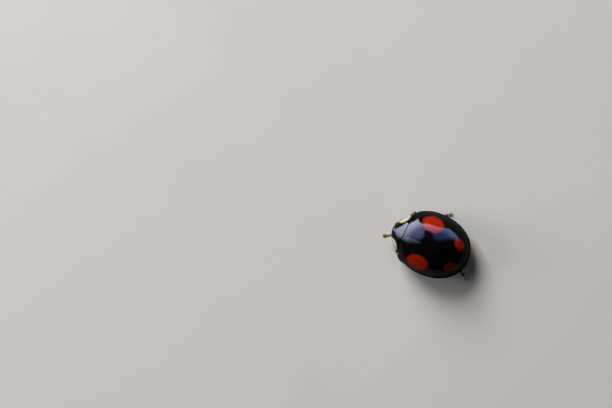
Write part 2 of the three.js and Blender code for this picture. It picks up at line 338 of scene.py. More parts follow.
def cut(piece, tool, keep_inside=False):
    """Cuts the piece with a closed tool, which is used up."""
    operation = "INTERSECT" if keep_inside else "DIFFERENCE"
    modifier(piece, "BOOLEAN", object=tool, operation=operation, solver="MANIFOLD")
    bpy.data.objects.remove(tool)


def ahead_of_seam(gap):
    """An upright block over all that lies ahead of the wing cases' front edge, less the gap."""
    seam = sizes().shell_seam - gap

    def edge(side, x, y):
        return seam + y + SEAM_SLANT[side] * min(x, SEAM_SLANT_REACH)

    half_width, front, half_height = SEAM_BLOCK
    outline = [(-x, edge("right", x, y)) for x, y in reversed(SEAM_LINE[1:])]
    outline += [(x, edge("left", x, y)) for x, y in SEAM_LINE]
    outline += [(half_width, front), (-half_width, front)]
    deselect()
    bpy.ops.curve.primitive_bezier_circle_add()
    block = bpy.context.object
    line = block.data
    line.dimensions = "2D"
    line.fill_mode = "BOTH"
    line.extrude = half_height
    line.resolution_u = 5
    spline = line.splines[0]
    spline.bezier_points.add(len(outline) - len(spline.bezier_points))
    for point, place in zip(spline.bezier_points, outline):
        point.co = (*place, 0)
        corner = abs(place[0]) > half_width - 0.1
        point.handle_left_type = point.handle_right_type = "VECTOR" if corner else "AUTO"
    bpy.ops.object.convert(target="MESH")
    block = bpy.context.object
    tidy(block)
    return block


def join(name, pieces):
    """Makes the pieces one mesh, which takes the name."""
    piece = work_on(*pieces)
    if len(pieces) > 1:
        bpy.ops.object.join()
    piece.name = piece.data.name = name
    return piece


def arch(name, sections, points, down=False):
    """An open skin over upright half rings. A section is y, half width, side height, crown height."""
    y, width, side, crown = sections[0]
    sign = -1 if down else 1
    deselect()
    bpy.ops.mesh.primitive_circle_add(
        vertices=2 * points, radius=1, location=(0, y, side), rotation=(math.pi / 2, 0, 0))
    piece = added(name)
    pick(piece, "VERT", lambda v: sign * (v.z - side) < -1e-4)
    bpy.ops.mesh.delete(type="VERT")
    bpy.ops.mesh.select_all(action="SELECT")
    bpy.ops.transform.resize(value=(width, 1, abs(crown - side)), center_override=(0, y, side))
    for section in sections[1:]:
        extrude(
            (0, section[0] - y, section[2] - side),
            (section[1] / width, 1, (section[3] - section[2]) / (crown - side)),
            (0, section[0], section[2]))
        y, width, side, crown = section
    end_edit()
    return piece


def turned(name, profile, sides=12, flat=1.0):
    """A round solid along +Z; the profile is a list of height and radius, and flat thins it along Y."""
    deselect()
    height, radius = profile[0]
    bpy.ops.mesh.primitive_circle_add(vertices=sides, radius=radius, fill_type="NGON", location=(0, 0, height))
    piece = added(name)
    bpy.ops.object.mode_set(mode="EDIT")
    bpy.ops.mesh.select_mode(type="FACE")
    bpy.ops.mesh.select_all(action="SELECT")
    for next_height, next_radius in profile[1:]:
        ratio = next_radius / radius
        extrude((0, 0, next_height - height), (ratio, ratio, 1), (0, 0, next_height))
        height, radius = next_height, next_radius
    bpy.ops.mesh.select_all(action="SELECT")
    bpy.ops.transform.resize(value=(1, flat, 1), center_override=(0, 0, 0))
    bpy.ops.mesh.normals_make_consistent(inside=False)
    end_edit()
    return piece


def lengthened(name, profile, long, sides, flat):
    """A turned solid whose profile gives each height as a share of its length."""
    return turned(name, [(long * share, radius) for share, radius in profile], sides, flat)


def stand(piece, foot, head):
    """Lays a piece made along +Z from foot towards head, its Y side kept upright."""
    along = (Vector(head) - Vector(foot)).normalized()
    across = along.cross(Vector((0, 0, 1)))
    across = across.normalized() if across.length > 1e-4 else Vector((1, 0, 0))
    up = across.cross(along).normalized()
    turn = Matrix((across, up, along)).transposed().to_4x4()
    piece.matrix_world = Matrix.Translation(Vector(foot)) @ turn @ Matrix.Scale(-1, 4, (1, 0, 0))
    work_on(piece)
    settle()
    tidy(piece)
    return piece


def body_skin(name, sections, points):
    """A closed skin. A section is y, half width, side height, top, bottom; the ends close to a point."""
    above = arch(name + "_above", [(y, w, side, top) for y, w, side, top, low in sections], points)
    below = arch(name + "_below", [(y, w, side, low) for y, w, side, top, low in sections], points, down=True)
    piece = join(name, [above, below])
    tidy(piece)
    return piece


def tube(name, points, radii, sides=3):
    """A tapered tube along a smooth line, made a mesh."""
    deselect()
    bpy.ops.curve.primitive_bezier_curve_add()
    piece = bpy.context.object
    piece.name = name
    line = piece.data
    line.dimensions = "3D"
    line.bevel_depth = 1.0
    line.bevel_resolution = sides
    line.use_fill_caps = True
    line.resolution_u = 5
    spline = line.splines[0]
    spline.bezier_points.add(len(points) - 2)
    for point, place, radius in zip(spline.bezier_points, points, radii):
        point.co = place
        point.radius = radius
        point.handle_left_type = point.handle_right_type = "AUTO"
    bpy.ops.object.convert(target="MESH")
    piece = bpy.context.object
    tidy(piece)
    return piece


def ball(name, centre, radii, segments=24, rings=16, tilt=(0, 0, 0)):
    """A rounded lump to be shaped further."""
    deselect()
    bpy.ops.mesh.primitive_uv_sphere_add(
        segments=segments, ring_count=rings, radius=1, location=centre, rotation=tilt, scale=radii)
    piece = added(name)
    return piece


def hairs(name, roots, length_mm, thickness=0.006, tip=0.0006):
    """Short tapering hairs: one is modelled, and each root, a place and a direction, gets a copy."""
    deselect()
    bpy.ops.mesh.primitive_cone_add(
        vertices=4, radius1=thickness, radius2=tip, depth=length_mm, location=(0, 0, length_mm / 2))
    model = bpy.context.object
    settle()
    copies = []
    for place, direction in roots:
        copy = bpy.data.objects.new(name, model.data.copy())
        bpy.context.collection.objects.link(copy)
        turn = Vector(direction).to_track_quat("Z", "Y").to_matrix().to_4x4()
        copy.matrix_world = Matrix.Translation(Vector(place)) @ turn
        copies.append(copy)
    bpy.data.objects.remove(model)
    piece = join(name, copies)
    work_on(piece)
    settle()
    return piece


def finish_piece(piece, nodes, finish, sharp=40):
    """Brings a piece to metres and to the frame, and gives it its finish and its place in the part."""
    work_on(piece)
    piece.location = -BODY_TO_ORIGIN * MM
    piece.scale = (MM, MM, MM)
    settle()
    bpy.ops.object.shade_smooth_by_angle(angle=math.radians(sharp))
    piece.data.materials.clear()
    piece.data.materials.append(finish)
    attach(piece, "root")
    if nodes:
        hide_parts(*nodes)
    return piece


def scutellum_plate(name, grow, depth):
    """A triangular plate that lies in the slope of the shell, with its point towards the tail."""
    s = sizes()
    half_width, long = 0.27 + grow, 0.44 + 2 * grow
    middle = s.shell_seam - 0.03 - grow + long / 3
    slope = math.atan2(shell_top(middle + 0.2) - shell_top(middle - 0.2), 0.4)
    deselect()
    bpy.ops.mesh.primitive_circle_add(vertices=3, radius=1, fill_type="NGON")
    plate = bpy.context.object
    plate.name = name
    edit_all()
    bpy.ops.transform.resize(value=(half_width / 0.866, long / 1.5, 1), center_override=(0, 0, 0))
    extrude((0, 0, -depth))
    bpy.ops.mesh.select_all(action="SELECT")
    bpy.ops.mesh.normals_make_consistent(inside=False)
    end_edit()
    plate.rotation_euler = (slope, 0, 0)
    plate.location = (0, middle, shell_top(middle) + 0.004)
    settle()
    return plate


# ---- Finishes ----

class Finish:
    """A material whose patterns are laid out in millimetres on the body."""

    def __init__(self, name, base, roughness, coat=0.0, coat_roughness=0.03, specular=0.5):
        self.material = bpy.data.materials.new(name)
        self.material.use_nodes = True
        self.tree = self.material.node_tree
        self.shader = self.tree.nodes["Principled BSDF"]
        self.set(self.shader, "Base Color", (*base, 1))
        self.set(self.shader, "Roughness", roughness)
        self.set(self.shader, "Coat Weight", coat)
        self.set(self.shader, "Coat Roughness", coat_roughness)
        self.set(self.shader, "Specular IOR Level", specular)
        place = self.add("ShaderNodeTexCoord").outputs["Object"]
        mapping = self.add("ShaderNodeMapping", Vector=place)
        mapping.inputs["Scale"].default_value = (1 / MM, 1 / MM, 1 / MM)
        mapping.inputs["Location"].default_value = BODY_TO_ORIGIN
        self.place = mapping.outputs["Vector"]

    def set(self, node, name, value):
        if isinstance(value, bpy.types.NodeSocket):
            self.tree.links.new(value, node.inputs[name])
        else:
            node.inputs[name].default_value = value

    def add(self, kind, props=None, **inputs):
        node = self.tree.nodes.new(kind)
        for key, value in (props or {}).items():
            setattr(node, key, value)
        for name, value in inputs.items():
            self.set(node, name.replace("_", " "), value)
        return node

    def math(self, operation, *values):
        node = self.tree.nodes.new("ShaderNodeMath")
        node.operation = operation
        for i, value in enumerate(values):
            self.set(node, i, value)
        return node.outputs[0]

    def noise(self, scale, detail=3.0, roughness=0.55):
        node = self.add("ShaderNodeTexNoise", Vector=self.place, Scale=scale, Detail=detail, Roughness=roughness)
        return node.outputs["Fac"]

    def cells(self, scale, feature="F1", randomness=1.0):
        node = self.add(
            "ShaderNodeTexVoronoi", {"feature": feature}, Vector=self.place, Scale=scale, Randomness=randomness)
        return node.outputs["Distance"]

    def spread(self, value, low, high, to_low=0.0, to_high=1.0):
        node = self.add("ShaderNodeMapRange", {"interpolation_type": "SMOOTHSTEP"})
        names = ("Value", "From Min", "From Max", "To Min", "To Max")
        for name, number in zip(names, (value, low, high, to_low, to_high)):
            self.set(node, name, number)
        return node.outputs[0]

    def mix(self, share, first, second):
        node = self.add("ShaderNodeMix", {"data_type": "RGBA"})
        for i, value in ((0, share), (6, first), (7, second)):
            if isinstance(value, bpy.types.NodeSocket):
                self.tree.links.new(value, node.inputs[i])
            else:
                node.inputs[i].default_value = (*value, 1) if i else value
        return node.outputs[2]

    def blotches(self, scale, detail, low, high, first, second):
        """Two tones in soft blotches."""
        return self.mix(self.spread(self.noise(scale, detail), low, high), first, second)

    def relief(self, height, depth_mm, strength=1.0):
        bump = self.add("ShaderNodeBump", Height=height, Strength=strength, Distance=depth_mm * MM)
        for name in ("Normal", "Coat Normal"):
            self.tree.links.new(bump.outputs["Normal"], self.shader.inputs[name])

    def axes(self):
        return self.add("ShaderNodeSeparateXYZ", Vector=self.place).outputs[:]

    def oval(self, across, along, centre, half_sizes, turn):
        """How far out of an oval on the plan each point lies: 0 at its middle, 1 at its edge."""
        x = self.math("SUBTRACT", across, centre[0])
        y = self.math("SUBTRACT", along, centre[1])
        c, s = math.cos(turn), math.sin(turn)
        wide, high = half_sizes
        u = self.math("ADD", self.math("MULTIPLY", x, c / wide), self.math("MULTIPLY", y, s / wide))
        v = self.math("ADD", self.math("MULTIPLY", x, -s / high), self.math("MULTIPLY", y, c / high))
        return self.math("SQRT", self.math("ADD", self.math("MULTIPLY", u, u), self.math("MULTIPLY", v, v)))


# The ovals of the markings on the plan: middle, half length and half width, and turn.
FRONT_SPOT = ((1.72, 3.12), (0.98, 0.655), math.radians(94))
REAR_SPOT = ((1.005, 5.80), (0.57, 0.36), math.radians(128))
CREAM_PATCH = ((1.20, 0.49), (0.62, 0.34), math.radians(42))


def shell_finish():
    """Polished black with four orange-red spots, finely pitted all over."""
    c = colours()
    f = Finish("wing case lacquer", c.shell, 0.07, specular=0.4)
    x, y, _ = f.axes()
    x = f.math("ABSOLUTE", x)
    wobble = f.math("MULTIPLY", f.math("SUBTRACT", f.noise(1.9, 2), 0.5), 0.16)
    front = f.math("ADD", f.oval(x, y, *FRONT_SPOT), wobble)
    rear = f.math("ADD", f.oval(x, y, *REAR_SPOT), wobble)
    spot = f.math("MAXIMUM", f.spread(front, 1.06, 0.97), f.spread(rear, 1.09, 0.96))
    heart = f.math("MAXIMUM", f.spread(front, 0.99, 0.74), f.spread(rear, 0.99, 0.7))
    mottle = f.spread(f.noise(6.0, 4), 0.3, 0.75, 0.0, 0.35)
    red = f.mix(heart, c.spot_edge, c.spot)
    red = f.mix(mottle, red, tinted(c.spot, 0.75))
    base = f.blotches(2.4, 3, 0.35, 0.8, c.shell, tinted(c.shell, 2.2))
    f.set(f.shader, "Base Color", f.mix(spot, base, red))
    f.set(f.shader, "Roughness", f.spread(f.noise(9.0, 4), 0.3, 0.7, 0.045, 0.09))
    pits = f.spread(f.cells(9.0), 0.0, 0.30, 0.0, 1.0)
    waves = f.math("MULTIPLY", f.noise(1.1, 2), 2.5)
    f.relief(f.math("ADD", pits, waves), 0.0035, 0.5)
    return f.material


def shield_finish():
    """Polished black with a cream patch over each front corner."""
    c = colours()
    f = Finish("pronotum lacquer", c.shell, 0.07, specular=0.4)
    x, y, _ = f.axes()
    x = f.math("ABSOLUTE", f.math("SUBTRACT", x, sizes().head_aside * 0.5))
    wobble = f.math("MULTIPLY", f.math("SUBTRACT", f.noise(3.2, 2), 0.5), 0.14)
    patch = f.math("ADD", f.oval(x, y, *CREAM_PATCH), wobble)
    mask = f.spread(patch, 1.05, 0.96)
    cream = f.blotches(5.0, 4, 0.35, 0.7, c.cream, tinted(c.cream, 0.82))
    cream = f.mix(f.spread(patch, 0.75, 1.0), cream, (0.36, 0.25, 0.12))
    base = f.blotches(2.4, 3, 0.35, 0.8, c.shell, tinted(c.shell, 2.2))
    f.set(f.shader, "Base Color", f.mix(mask, base, cream))
    f.set(f.shader, "Roughness", f.spread(f.noise(9.0, 4), 0.3, 0.7, 0.04, 0.08))
    pits = f.spread(f.cells(12.0), 0.0, 0.30, 0.0, 1.0)
    f.relief(f.math("ADD", pits, f.math("MULTIPLY", f.noise(1.3, 2), 2.0)), 0.003, 0.5)
    return f.material


def horn_finish(name, base, dark, roughness, grain=14.0, coat=0.25, leather=0.35):
    """Plain horn: mottled between two tones, finely pitted, and a little leathery."""
    f = Finish(name, base, roughness, coat=coat, coat_roughness=0.12)
    f.set(f.shader, "Base Color", f.blotches(3.0, 4, 0.32, 0.72, base, dark))
    shine = f.spread(f.noise(grain * 0.6, 3), 0.3, 0.7, roughness * 0.8, roughness * 1.25)
    f.set(f.shader, "Roughness", shine)
    scales = f.spread(f.cells(grain * 1.6, "DISTANCE_TO_EDGE"), 0.0, 0.12, 0.0, leather)
    pits = f.spread(f.cells(grain), 0.0, 0.28)
    grains = f.math("MULTIPLY", f.noise(grain * 0.5, 3), 0.8)
    f.relief(f.math("ADD", f.math("ADD", scales, pits), grains), 0.003, 0.6)
    return f.material


def eye_finish():
    """Near-black eye of many small even facets."""
    f = Finish("eye facets", (0.006, 0.005, 0.006), 0.14, coat=0.9, coat_roughness=0.05)
    facets = f.cells(40.0, randomness=0.3)
    dark = f.spread(facets, 0.2, 0.55)
    f.set(f.shader, "Base Color", f.mix(dark, (0.016, 0.011, 0.010), (0.002, 0.002, 0.002)))
    f.relief(f.spread(facets, 0.0, 0.6, 1.0, 0.0), 0.006, 0.9)
    return f.material


def feeler_finish():
    """Amber horn, browner in the club, with dark flecks."""
    c = colours()
    f = Finish("feeler horn", c.feeler, 0.35, coat=0.2, coat_roughness=0.15)
    _, y, _ = f.axes()
    tip = f.spread(y, -0.42, -0.6)
    tone = f.blotches(9.0, 3, 0.35, 0.7, c.feeler, tinted(c.feeler, 0.6))
    tone = f.blotches(5.5, 3, 0.56, 0.68, tone, c.feeler_tip)
    f.set(f.shader, "Base Color", f.mix(f.math("MULTIPLY", tip, 0.25), tone, c.feeler_tip))
    f.relief(f.noise(30.0, 3), 0.004, 0.6)
    return f.material


def hair_finish():
    """Pale hair, browner in places."""
    f = Finish("pale hair", (0.30, 0.22, 0.13), 0.5)
    f.set(f.shader, "Base Color", f.blotches(4.0, 2, 0.3, 0.7, (0.34, 0.25, 0.15), (0.16, 0.09, 0.04)))
    return f.material


# ---- Pieces ----

class LADYBIRD_OT_wing_cases(bpy.types.Operator):
    """Makes the two domed wing cases with their flattened rims, parted along the suture"""

    bl_idname = "ladybird.wing_cases"
    bl_label = "Wing cases"

    rows = 60  # rings of the skin from front to tail
    ring_points = 44  # steps round each ring
    half_gap = 0.005  # half the gap along the suture
    # How far ahead of the seam line the case and its collar begin: less than nought is behind it.
    front_gap = -0.015
    collar_gap = -0.02
    # The flattened margin: a flange, its raised lip, and the fold turned in below, by move and scale.
    margin = (
        ((0, 0, -0.02), (1.030, 1.006, 1)),
        ((0, 0, 0.012), (1.010, 1.004, 1)),
        ((0, 0, -0.02), (1.003, 1.001, 1)),
        ((0, 0, -0.05), (0.993, 0.998, 1)),
        ((0, 0, 0.03), (0.90, 0.955, 1)),
        ((0, 0, 0.06), (0.88, 0.95, 1)))
    collar_depth = 0.42
    collar_inset = (0.03, 0.02)  # how far the collar lies within the skin, at the sides and the crown
    collar_start = 0.22  # how far from the midline it begins

    def collar(self, sign, sections, front):
        """The deep front wall of a case, which comes down behind the pronotum."""
        beside, below = self.collar_inset
        near = [
            (y, width - beside, side, top - below)
            for y, width, side, top in sections if y < front + self.collar_depth]
        collar = arch("collar", near, self.ring_points)
        keep_side(collar, sign, self.collar_start * sign)
        thicken(collar, self.collar_depth)
        tidy(collar, FINE_MERGE)
        cut(collar, ahead_of_seam(self.collar_gap))
        return collar

    def execute(self, context):
        s = sizes()
        finish = shell_finish()
        lining = horn_finish("wing case lining", colours().shell, tinted(colours().belly, 0.2), 0.55, 12, 0.0)
        front = s.shell_seam - 0.2
        reach = s.shell_tail - front
        tip = 0.004  # the last ring's half width and height

        def station(i):
            """Rings stand closer together towards the tail, where the skin curves most."""
            t = math.pi / 2 * i / self.rows
            return front + reach * (t / math.pi * math.cos(t) + math.sin(t) * (1 - 0.5 * math.cos(t)))

        def section(y):
            return y, max(shell_width(y), tip), shell_rim(y), max(shell_top(y), shell_rim(y) + tip)

        sections = [section(station(i)) for i in range(self.rows + 1)]
        for side, sign in SIDES:
            case = arch("elytron_" + side, sections, self.ring_points)
            pick(case, "EDGE", lambda v: abs(v.z - shell_rim(v.y)) < 2e-3 and v.y > front - 0.01)
            for move, scale in self.margin:
                extrude(move, scale, (0, front, 0))
            end_edit()
            # The shoulder's boss, the low fold across the end of the case, and the shoulder's side,
            # which stands out further on the left.
            shoulder_move = (0.15, -0.04, 0) if sign > 0 else (-0.04, 0, 0)
            pull(case, (1.72 * sign, 1.78, 2.33), 0.12, (-0.02 * sign, 0, 0.075), 0.5)
            pull(case, (0.95 * sign, 6.22, 1.9), 0.14, (0, 0.02, 0.03), 0.35)
            pull(case, (1.95 * sign, 1.3, 1.28), 0.16, shoulder_move, 0.8)
            edge = self.half_gap * sign
            keep_side(case, sign, edge)
            # The suture's edge turns down into the seam, and the left case's tongue runs under the right.
            pick(case, "EDGE", lambda v: abs(v.x - edge) < 1e-4 and v.z > 1.2)
            extrude((0, 0, -0.03))
            if sign > 0:
                extrude((0, 0, -0.1))
                extrude((-0.12, 0, 0))
            tidy(case)
            thicken(case, s.shell_thickness)
            tidy(case, FINE_MERGE)
            bevel(case, 0.009, 2, 55)
            cut(case, ahead_of_seam(self.front_gap))
            cut(case, scutellum_plate("hole", 0.01, 0.5))
            case = join("elytron_" + side, [self.collar(sign, sections, front), case])
            finish_piece(case, ["elytron_" + side], finish, 32)
            # The hollow side and the upright front wall are plain dark horn, without the spots.
            case.data.materials.append(lining)
            middle = (Vector((0, 3.6, 0.9)) - BODY_TO_ORIGIN) * MM
            for face in case.data.polygons:
                front_wall = face.normal.y < -0.3 and abs(face.normal.z) < 0.02
                if front_wall or face.normal.dot(face.center - middle) < 0:
                    face.material_index = 1
        return {"FINISHED"}


class LADYBIRD_OT_pronotum(bpy.types.Operator):
    """Makes the shield behind the head, with its turned-in sides and lipped margin"""

    bl_idname = "ladybird.pronotum"
    bl_label = "Pronotum"

    rows = 24
    ring_points = 36
    # The lipped side margin and the part turned in below it, by move and scale.
    margin = (
        ((0, 0, 0.012), (1.010, 1, 1)),
        ((0, 0, -0.02), (1.005, 1, 1)),
        ((0, 0, -0.04), (0.985, 1, 1)),
        ((0, 0, 0.02), (0.84, 1, 1)),
        ((0, 0.02, 0.05), (0.8, 1, 1)))
    thickness = 0.09
    back_gap = 0.07  # how far ahead of the seam line it ends

    def execute(self, context):
        s = sizes()
        depth = s.shell_seam + 0.42 - s.shield_front  # it is made too long, and cut at the seam
        stations = [s.shield_front + depth * (i / self.rows) ** 1.25 for i in range(self.rows + 1)]
        sections = [(y, shield_width(y), s.shield_rim, shield_top(y)) for y in stations]
        shield = arch("pronotum", sections, self.ring_points)
        pick(shield, "EDGE", lambda v: abs(v.z - s.shield_rim) < 1e-4)
        for move, scale in self.margin:
            extrude(move, scale)
        tidy(shield)
        for side, sign in SIDES:
            pull(shield, (1.58 * sign, 1.05, 1.32), 0.12, (0.15 * sign, 0, 0), 0.5)
        thicken(shield, self.thickness)
        shield.location = (s.head_aside, 0, 0)
        settle()
        tidy(shield, FINE_MERGE)
        bevel(shield, 0.012, 2, 50)
        cut(shield, ahead_of_seam(self.back_gap), keep_inside=True)
        finish_piece(shield, ["pronotum"], shield_finish(), 50)
        return {"FINISHED"}


class LADYBIRD_OT_scutellum(bpy.types.Operator):
    """Makes the small triangular plate between the wing cases"""

    bl_idname = "ladybird.scutellum"
    bl_label = "Scutellum"

    def execute(self, context):
        plate = scutellum_plate("scutellum", 0.0, 0.12)
        pick(plate, "FACE", lambda v: False)
        end_edit()
        for face in plate.data.polygons:
            face.select = face.normal.z > 0.5
        bpy.ops.object.mode_set(mode="EDIT")
        bpy.ops.mesh.inset(thickness=0.05)
        bpy.ops.transform.translate(value=(0, 0, 0.012))
        bpy.ops.mesh.inset(thickness=0.05)
        bpy.ops.transform.translate(value=(0, 0, 0.008))
        end_edit()
        bevel(plate, 0.018, 3, 40)
        finish_piece(plate, ["scutellum"], bpy.data.materials["wing case lacquer"], 50)
        return {"FINISHED"}


class LADYBIRD_OT_head(bpy.types.Operator):
    """Makes the head with its lip plates and jaws, and the two faceted eyes"""

    bl_idname = "ladybird.head"
    bl_label = "Head and eyes"

    # The jaw's line from its root to its tip on the left: x, y, z and radius.
    jaw = (
        (0.33, -0.42, -0.36, 0.12), (0.27, -0.62, -0.42, 0.1),
        (0.13, -0.75, -0.42, 0.06), (0.01, -0.79, -0.41, 0.012))
    head_middle = (0.36, 1.3)  # how far back, and the height
    head_tilt = 0.45
    notch_reach = 0.13

    def execute(self, context):
        aside = sizes().head_aside
        head = ball("head", (0, 0, 0), (0.69, 0.60, 0.52), 40, 28)
        # The brow is flattened, then the lip plates are drawn forward from the face.
        squeeze(head, lambda v: v.y < -0.34 and v.z > -0.12, (1, 0.62, 0.96), (0, -0.34, 0))
        pick(head, "FACE", lambda v: v.y < -0.2 and abs(v.x) < 0.42 and -0.4 < v.z < -0.06)
        extrude((0, -0.035, -0.02), (0.97, 1, 0.93), (0, -0.5, -0.22))
        extrude((0, -0.085, -0.05), (0.88, 0.8, 0.8), (0, -0.6, -0.26))
        extrude((0, 0.012, 0.0), (0.86, 1, 0.86), (0, -0.66, -0.28))
        extrude((0, -0.075, -0.045), (0.86, 0.6, 0.75), (0, -0.7, -0.32))
        end_edit()
        smooth(head)
        jaws = []
        for side, sign in SIDES:
            line = [(x * sign, y, z) for x, y, z, radius in self.jaw]
            jaws.append(tube("jaw_" + side, line, [radius for x, y, z, radius in self.jaw], 4))
            cheek = ball("cheek_" + side, (0.43 * sign, -0.22, -0.28), (0.2, 0.24, 0.16), 20, 12)
            squeeze(cheek, lambda v: v.y < -0.3, (0.7, 1.1, 0.7), (0.39 * sign, -0.3, -0.3))
            jaws.append(cheek)
        chin = ball("chin", (0, -0.32, -0.42), (0.26, 0.3, 0.12), 20, 12)
        squeeze(chin, lambda v: v.y < -0.45, (0.75, 1.1, 0.6), (0, -0.45, -0.42))
        head = join("head", jaws + [chin, head])
        head.rotation_euler = (self.head_tilt, 0, 0)
        head.location = (aside, *self.head_middle)
        settle()
        tidy(head)
        black = colours().shell
        finish_piece(head, ["head"], horn_finish("head horn", black, tinted(black, 2), 0.16, 13, 0.3, 0.0))
        eyes = eye_finish()
        for side, sign in SIDES:
            eye = ball("eye_" + side, (0.5 * sign + aside, 0.22, 1.36), (0.205, 0.28, 0.275), 36, 24)
            # A notch is pressed in where the feeler leaves the head.
            notch = Vector((0.4 * sign + aside, -0.04, 1.22))
            push(eye, lambda v: (v - notch).length < self.notch_reach, (0.01 * sign, 0.03, 0.03))
            finish_piece(eye, ["eye_" + side], eyes)
        return {"FINISHED"}


def along_line(points, share):
    """The point that lies at share of the length of a broken line."""
    points = [Vector(p) for p in points]
    lengths = [(b - a).length for a, b in zip(points, points[1:])]
    left = share * sum(lengths)
    for a, b, reach in zip(points, points[1:], lengths):
        if left <= reach + 1e-9:
            return a.lerp(b, left / reach)
        left -= reach
    return points[-1]


class LADYBIRD_OT_feelers(bpy.types.Operator):
    """Makes the two feelers of eleven joints and the two mouth feelers"""

    bl_idname = "ladybird.feelers"
    bl_label = "Feelers and mouth feelers"

    # The end of each joint as a share of the feeler, and its radius in millimetres.
    joints = (
        (0.16, 0.14), (0.24, 0.118), (0.32, 0.104), (0.39, 0.10), (0.45, 0.102), (0.51, 0.106),
        (0.56, 0.112), (0.61, 0.125), (0.74, 0.17), (0.87, 0.19), (0.985, 0.16))
    # The mouth feeler's three joints: start and end as shares, and a profile of height and radius.
    palp_joints = (
        (0.0, 0.36, ((0, 0.05), (0.5, 0.08), (1, 0.06))),
        (0.34, 0.6, ((0, 0.05), (0.6, 0.085), (1, 0.06))),
        (0.58, 1.0, ((0, 0.05), (0.35, 0.10), (0.85, 0.17), (0.96, 0.165), (1, 0.12))))

    def execute(self, context):
        finish = feeler_finish()
        for side, sign in SIDES:
            beads = []
            start = 0.0
            for end, radius in self.joints:
                a = along_line(ANTENNAE[side], start)
                b = along_line(ANTENNAE[side], end)
                long = (b - a).length
                blunt = 0.62 if end > 0.95 else 0.82
                bead = turned("bead", [
                    (-long * 0.08, radius * 0.4), (long * 0.08, radius * 0.55), (long * 0.3, radius * 0.78),
                    (long * 0.62, radius * 0.98), (long * 0.78, radius), (long * 0.92, radius * blunt),
                    (long * 0.97, radius * 0.4)], 18, 0.85)
                beads.append(stand(bead, a, b))
                start = end
            feeler = join("antenna_" + side, beads)
            finish_piece(feeler, ["antenna_" + side], finish)
        palp_finish = horn_finish("mouth horn", colours().shin, colours().thigh, 0.35, 24)
        for side, sign in SIDES:
            parts = []
            for start, end, profile in self.palp_joints:
                a, b = along_line(PALPS[side], start), along_line(PALPS[side], end)
                part = lengthened("palp_part", profile, (b - a).length, 14, 0.6)
                smooth(part)
                parts.append(stand(part, a, b))
            finish_piece(join("palp_" + side, parts), ["palp_" + side], palp_finish)
        return {"FINISHED"}


class LADYBIRD_OT_underside(bpy.types.Operator):
    """Makes the breast and belly plates under the shell, and the sockets of the legs"""

    bl_idname = "ladybird.underside"
    bl_label = "Underside"

    # The breast's rings: how far back, and how far the skin hangs below the shell's rim.
    breast = (
        (1.06, POINT), (1.1, 0.24), (1.3, 0.36), (1.8, 0.41), (2.3, 0.40),
        (2.75, 0.43), (3.1, 0.43), (3.4, 0.40), (3.47, 0.3), (3.49, POINT))
    belly_start, belly_end, belly_plates = 3.53, 6.14, 5
    belly_low = 0.68  # height of the belly's underside
    least_depth = 0.02
    # The rings of one belly plate: the end that it is measured from, how far from it, and its lip.
    plate_rings = (
        ("first", 0.004, -0.05), ("first", 0.05, -0.03),
        ("last", -0.07, 0.0), ("last", -0.02, 0.008), ("last", 0, -0.012))

    def half_width(self, y):
        return max(shell_width(y + 0.27) - 0.56, POINT)

    def closed_end(self, y):
        """The section in which a skin closes to a point."""
        rim = shell_rim(y) + RIM_RISE
        return y, POINT, rim, rim + POINT, rim - POINT

    def belly_plate(self, number):
        """The sections of a belly plate, sunk at its front and lipped behind."""
        start, reach = self.belly_start, self.belly_end - self.belly_start
        ends = {
            name: start + 0.01 + (reach - 0.12) * (step / self.belly_plates) ** 0.92
            for name, step in (("first", number), ("last", number + 1))}
        sections = []
        for end, offset, lip in self.plate_rings:
            y = ends[end] + offset
            rim = shell_rim(y) + RIM_RISE
            close = round_off((y - start) / reach, 3)
            depth = max((shell_rim(y) - self.belly_low) * close + lip, self.least_depth)
            half_width = self.half_width(y) * (0.985 if lip < -0.02 else 1)
            sections.append((y, half_width, rim, rim + 0.3 * close, rim - depth))
        return sections

    def execute(self, context):
        finish = horn_finish("belly horn", colours().belly, tinted(colours().belly, 2.4), 0.33, 10, 0.2)
        front = ball("prothorax", (0, 0.78, 1.16), (1.28, 0.72, 0.42), 40, 20, (0.12, 0, 0))
        pick(front, "FACE", lambda v: v.z < 1.0 and abs(v.x) < 0.22 and 0.3 < v.y < 1.3)
        extrude((0, 0, -0.05), (0.75, 0.9, 1), (0, 0.8, 0.8))
        end_edit()
        smooth(front)
        sockets = [front]
        for side, sign in SIDES:
            sockets.append(ball("socket", (0.52 * sign, 1.03, 0.86), (0.28, 0.2, 0.17), 20, 12, (0, 0, -0.2 * sign)))
        finish_piece(join("prothorax", sockets[::-1]), ["prothorax"], finish)

        sections = []
        for y, depth in self.breast:
            rim = shell_rim(y) + RIM_RISE
            if depth > POINT:
                sections.append((y, self.half_width(y), rim, shell_rim(y) + 0.35, rim - depth))
            else:
                sections.append(self.closed_end(y))
        breast = body_skin("thorax", sections, 28)
        # A groove down the middle of the breast, and a step where its side plates begin.
        push(breast, lambda v: abs(v.x) < 0.08 and v.z < 0.9 and 1.9 < v.y < 3.3, (0, 0, 0.03))
        push(breast, lambda v: 0.2 < abs(v.x) < 1.2 and v.z < 0.9 and 2.6 < v.y < 3.3, (0, 0, -0.025))
        smooth(breast)
        sockets = [breast]
        for side, sign in SIDES:
            sockets.append(ball("socket", (0.8 * sign, 2.38, 0.8), (0.26, 0.2, 0.16), 20, 12, (0, 0, -0.3 * sign)))
            sockets.append(ball("socket", (0.68 * sign, 3.5, 0.8), (0.42, 0.16, 0.15), 24, 12, (0, 0, 0.16 * sign)))
        finish_piece(join("thorax", sockets[::-1]), ["thorax"], finish)

        sections = [self.closed_end(self.belly_start)]
        for i in range(self.belly_plates):
            sections += self.belly_plate(i)
        sections.append(self.closed_end(self.belly_end))
        belly = body_skin("abdomen", sections, 28)
        finish_piece(belly, ["abdomen"], finish, 28)
        return {"FINISHED"}


